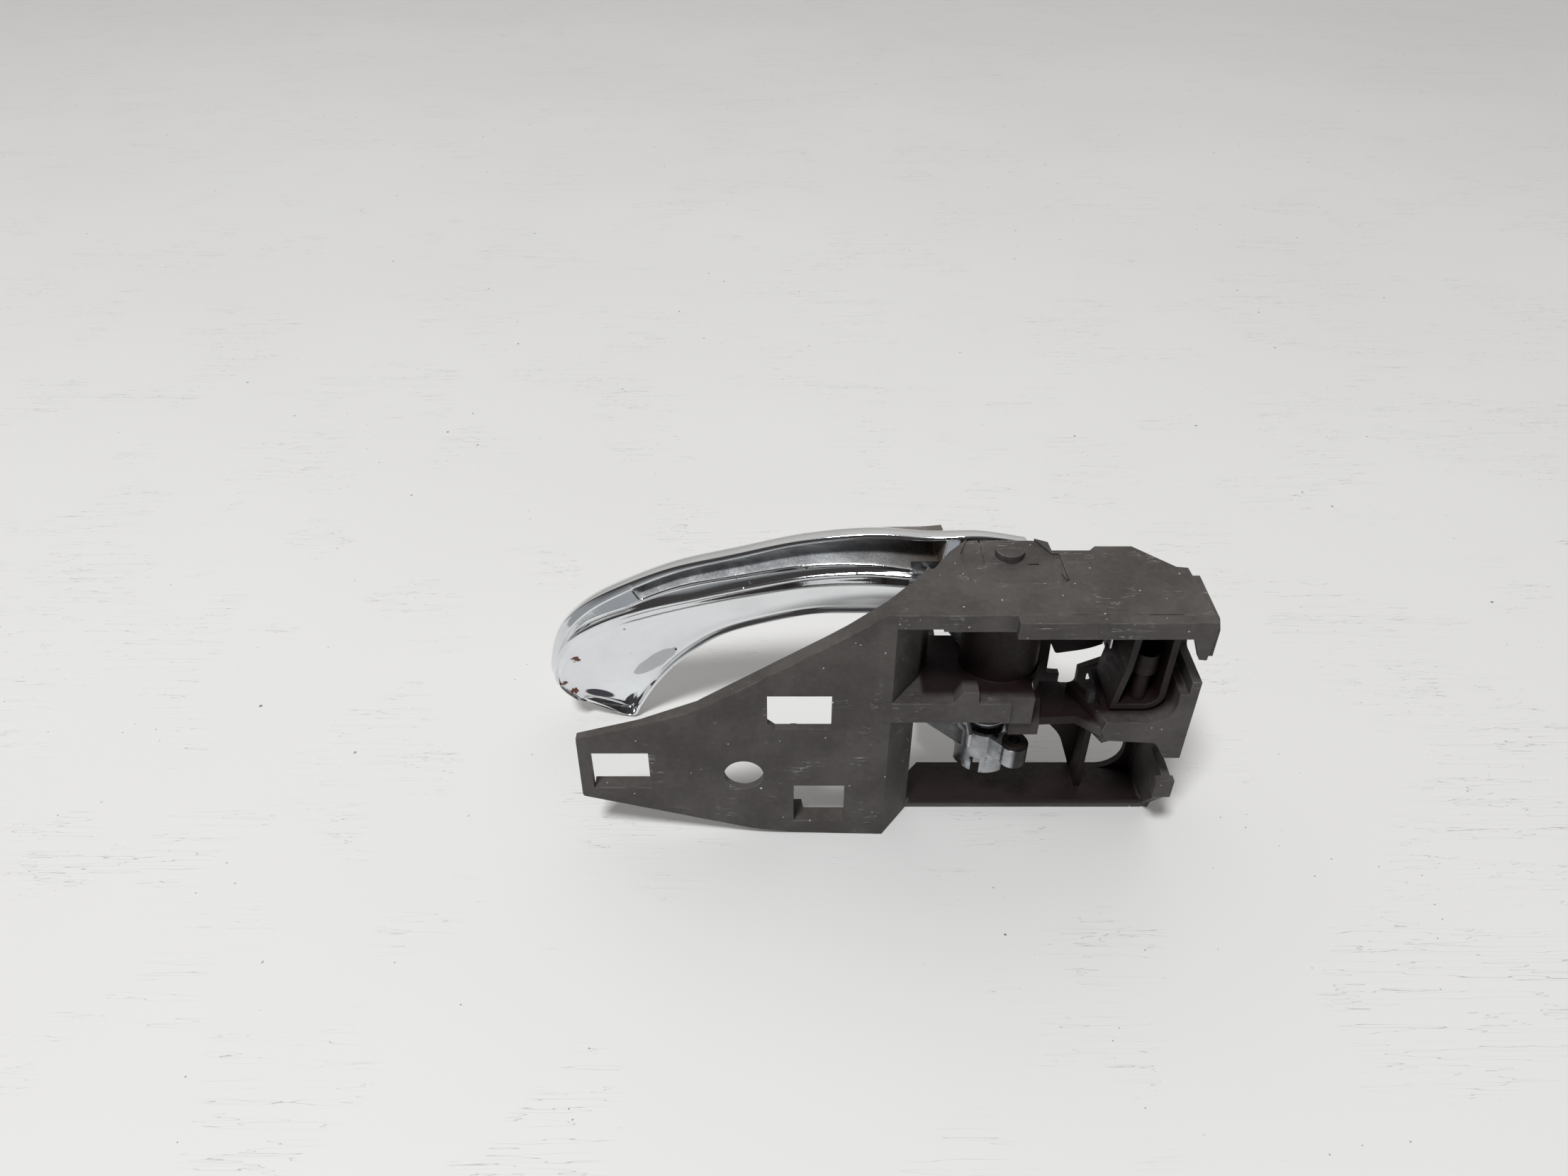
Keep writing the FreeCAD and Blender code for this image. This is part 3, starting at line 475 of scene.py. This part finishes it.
def buildLever():
    mesh = bmesh.new()
    last = len(lever["sections"]) - 1
    stops = [k / lever["ringsPerSection"] for k in range(last * lever["ringsPerSection"] + 1)]
    for end in (lever["pocketFrom"], lever["pocketTo"]):  # close rings make the pocket's end walls steep
        stops += [end + lever["pocketStep"] * j / 4 for j in range(5)]
    samples = lever["cornerSamples"]
    first, wallFrom, wallTo = leverSection(0)
    middle = sum(first, Vector()) / len(first)
    along = first[-1] - leverSection(0.3)[0][-1]
    outward = Vector((along.x, 0, along.z)).normalized() * lever["tipReach"]
    loops = []
    for k in range(lever["tipRings"], 0, -1):  # the tip closes in a quarter ellipse
        angle = math.radians(84 * k / lever["tipRings"])
        loops.append((-1, [middle + (p - middle) * math.cos(angle) + outward * math.sin(angle)
                           for p in rounded(first, samples)]))
    loops += [(at, rounded(leverSection(at)[0], samples)) for at in sorted(stops)]
    rings = [(at, [mesh.verts.new(point * mm) for point in loop]) for at, loop in loops]
    for (before, one), (after, two) in zip(rings, rings[1:]):
        pocketed = before >= lever["pocketFrom"] and after <= lever["pocketTo"] + lever["pocketStep"]
        for k in range(len(one)):
            face = mesh.faces.new((one[k - 1], one[k], two[k], two[k - 1]))
            face.material_index = int(pocketed and wallFrom * samples < k <= wallTo * samples)
    for ring in (rings[0][1], rings[-1][1]):
        middle = mesh.verts.new(sum((v.co for v in ring), Vector()) / len(ring))
        for k in range(len(ring)):
            mesh.faces.new((ring[k - 1], ring[k], middle))
    bmesh.ops.remove_doubles(mesh, verts=mesh.verts, dist=1e-6)
    bmesh.ops.recalc_face_normals(mesh, faces=mesh.faces)
    data = bpy.data.meshes.new("pull_lever")
    mesh.to_mesh(data)
    mesh.free()
    data.materials.append(finishes["chrome"])
    data.materials.append(finishes["pocket"])
    for face in data.polygons:
        face.use_smooth = True
    piece = bpy.data.objects.new("pull_lever", data)
    bpy.context.scene.collection.objects.link(piece)
    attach(piece, "lever")
    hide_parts("lever_grip")
    return piece


pullLever = buildLever()
print("pull lever:", len(pullLever.data.polygons), "faces")

coil = {"wire": 0.65, "radius": 5.6, "turns": 5.5, "foot": 5.15, "top": 17.25,
        "legLength": 8.6, "hookLength": 4.0, "topLeg": 8.6, "steps": 44}


def addNode(tree, kind, inputs=None):
    made = tree.nodes.new(kind)
    for key, value in (inputs or {}).items():
        if isinstance(value, bpy.types.NodeSocket):
            tree.links.new(value, made.inputs[key])
        else:
            made.inputs[key].default_value = value
    return made


def springTree():  # right-hand coil with a turned-down lower leg and a straight upper leg
    tree = bpy.data.node_groups.new("spring", "GeometryNodeTree")
    tree.is_modifier = True
    tree.interface.new_socket("Geometry", in_out="OUTPUT", socket_type="NodeSocketGeometry")
    for name in ("Wire", "Radius", "Turns", "Height", "Lower Leg", "Hook", "Upper Leg"):
        tree.interface.new_socket(name, in_out="INPUT", socket_type="NodeSocketFloat")
    given = tree.nodes.new("NodeGroupInput").outputs
    turnedRound = {name: addNode(tree, "ShaderNodeMath", {0: given[name], 1: -1.0})
                   for name in ("Radius", "Lower Leg", "Hook", "Upper Leg")}
    for one in turnedRound.values():
        one.operation = "MULTIPLY"
    left, lowEnd, hookEnd, highEnd = (one.outputs[0] for one in turnedRound.values())
    corners = {
        "coilFoot": {"X": left},
        "knee": {"X": left, "Y": lowEnd},
        "hook": {"X": left, "Y": lowEnd, "Z": hookEnd},
        "coilTop": {"X": given["Radius"], "Z": given["Height"]},
        "tail": {"X": given["Radius"], "Y": highEnd, "Z": given["Height"]},
    }
    at = {name: addNode(tree, "ShaderNodeCombineXYZ", parts).outputs[0] for name, parts in corners.items()}
    turns = addNode(tree, "GeometryNodeCurveSpiral", {
        "Resolution": coil["steps"], "Rotations": given["Turns"], "Start Radius": given["Radius"],
        "End Radius": given["Radius"], "Height": given["Height"], "Reverse": True})
    halfTurn = (0, 0, math.pi)
    turned = addNode(tree, "GeometryNodeTransform", {"Geometry": turns.outputs[0], "Rotation": halfTurn})
    runs = addNode(tree, "GeometryNodeJoinGeometry")
    tree.links.new(turned.outputs[0], runs.inputs[0])
    for start, end in (("coilFoot", "knee"), ("knee", "hook"), ("coilTop", "tail")):
        line = addNode(tree, "GeometryNodeCurvePrimitiveLine", {"Start": at[start], "End": at[end]})
        tree.links.new(line.outputs[0], runs.inputs[0])
    ring = addNode(tree, "GeometryNodeCurvePrimitiveCircle", {"Resolution": 14, "Radius": given["Wire"]})
    tube = addNode(tree, "GeometryNodeCurveToMesh", {
        "Curve": runs.outputs[0], "Profile Curve": ring.outputs[0], "Fill Caps": True})
    ball = addNode(tree, "GeometryNodeMeshUVSphere", {"Segments": 14, "Rings": 9, "Radius": given["Wire"]})
    placed = addNode(tree, "GeometryNodeTransform", {
        "Geometry": ball.outputs[0], "Translation": at["knee"]})
    whole = addNode(tree, "GeometryNodeJoinGeometry")
    tree.links.new(tube.outputs[0], whole.inputs[0])
    tree.links.new(placed.outputs[0], whole.inputs[0])
    smooth = addNode(tree, "GeometryNodeSetShadeSmooth", {"Geometry": whole.outputs[0]})
    real = addNode(tree, "GeometryNodeRealizeInstances", {"Geometry": smooth.outputs[0]})
    dressed = addNode(tree, "GeometryNodeSetMaterial", {
        "Geometry": real.outputs[0], "Material": finishes["steel"]})
    addNode(tree, "NodeGroupOutput", {0: dressed.outputs[0]})
    return tree


def buildSpring():
    tree = springTree()
    host = bpy.data.objects.new("spring_host", bpy.data.meshes.new("spring_host"))
    bpy.context.scene.collection.objects.link(host)
    modifier = host.modifiers.new("spring", "NODES")
    modifier.node_group = tree
    sizes = {"Wire": coil["wire"], "Radius": coil["radius"], "Height": coil["top"] - coil["foot"],
             "Lower Leg": coil["legLength"], "Hook": coil["hookLength"], "Upper Leg": coil["topLeg"]}
    sockets = {item.name: item.identifier for item in tree.interface.items_tree if item.in_out == "INPUT"}
    for name, size in sizes.items():
        modifier[sockets[name]] = size * mm
    modifier[sockets["Turns"]] = coil["turns"]
    shaped = host.evaluated_get(bpy.context.evaluated_depsgraph_get())
    data = bpy.data.meshes.new_from_object(shaped)
    host.modifiers.remove(modifier)
    bpy.data.objects.remove(host)
    mesh = bmesh.new()
    mesh.from_mesh(data)
    sleeveLow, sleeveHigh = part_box("spring_sleeve")
    middle = (sleeveLow + sleeveHigh) / 2
    bmesh.ops.translate(mesh, verts=mesh.verts, vec=(middle.x, middle.y, coil["foot"] * mm))
    bmesh.ops.recalc_face_normals(mesh, faces=mesh.faces)
    mesh.to_mesh(data)
    mesh.free()
    piece = bpy.data.objects.new("coil_spring", data)
    bpy.context.scene.collection.objects.link(piece)
    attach(piece, "housing_body")
    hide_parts("return_spring")
    return piece


spring = buildSpring()
print("spring:", len(spring.data.polygons), "faces")

table = {"halfSize": 1.6, "top": cadBox[0].z - 0.05 * mm}


def buildTable():
    mesh = bmesh.new()
    bmesh.ops.create_grid(mesh, x_segments=8, y_segments=8, size=table["halfSize"])
    bmesh.ops.translate(mesh, verts=mesh.verts, vec=(0, 0, table["top"]))
    data = bpy.data.meshes.new("table_top")
    mesh.to_mesh(data)
    mesh.free()
    data.materials.append(wornTable())
    top = bpy.data.objects.new("table_top", data)
    bpy.context.scene.collection.objects.link(top)


buildTable()

key = {"place": (-0.50, -0.98, 2.30), "aim": (0.01, 0.02, 0.02), "size": 0.46, "power": 50.0,
       "colour": (0.98, 0.99, 1.0)}


def buildKeyLight():
    lamp = bpy.data.lights.new("key", "AREA")
    lamp.size = key["size"]
    lamp.energy = key["power"]
    lamp.color = key["colour"]
    holder = bpy.data.objects.new("key", lamp)
    holder.location = key["place"]
    aim = Vector(key["aim"]) - Vector(key["place"])
    holder.rotation_euler = aim.to_track_quat("-Z", "Y").to_euler()
    holder.visible_camera = False
    bpy.context.scene.collection.objects.link(holder)


def buildSurroundings():
    world = bpy.data.worlds.new("room")
    world.use_nodes = True
    world.node_tree.nodes.clear()
    way = Flow(world.node_tree).node("ShaderNodeTexCoord", out="Generated")
    height = way.node("ShaderNodeSeparateXYZ", None, {0: way}, out="Z")
    depth = way.node("ShaderNodeSeparateXYZ", None, {0: way}, out="Y")
    front = height.node("ShaderNodeValToRGB", {"stops": [
        (0.0, (0.40, 0.42, 0.44)), (0.14, (0.36, 0.37, 0.38)), (0.32, (0.07, 0.065, 0.065)),
        (0.80, (0.06, 0.055, 0.055)), (1.0, (0.55, 0.54, 0.53)),
    ]}, {0: height})
    behind = height.node("ShaderNodeValToRGB", {"stops": [
        (0.0, (0.52, 0.50, 0.48)), (0.5, (0.70, 0.68, 0.66)), (1.0, (0.80, 0.79, 0.78)),
    ]}, {0: height})
    sky = depth.between(-0.30, 0.45).blend(front, behind)
    glow = way.node("ShaderNodeBackground", None, {"Color": sky, "Strength": 0.85})
    way.node("ShaderNodeOutputWorld", None, {"Surface": glow})
    bpy.context.scene.world = world
    bpy.context.scene.view_settings.view_transform = "Standard"


buildKeyLight()
buildSurroundings()

eye = {"place": (0.0102, -0.1976, 0.2147), "down": 38.0, "lens": 26.04, "sensor": 36.0}


def buildCamera():
    data = bpy.data.cameras.new("eye")
    data.sensor_width = eye["sensor"]
    data.lens = eye["lens"]
    data.clip_start = 0.01
    camera = bpy.data.objects.new("eye", data)
    camera.location = eye["place"]
    camera.rotation_euler = (math.radians(90 - eye["down"]), 0, 0)
    bpy.context.scene.collection.objects.link(camera)
    bpy.context.scene.camera = camera


buildCamera()
print("table, lights and camera placed")
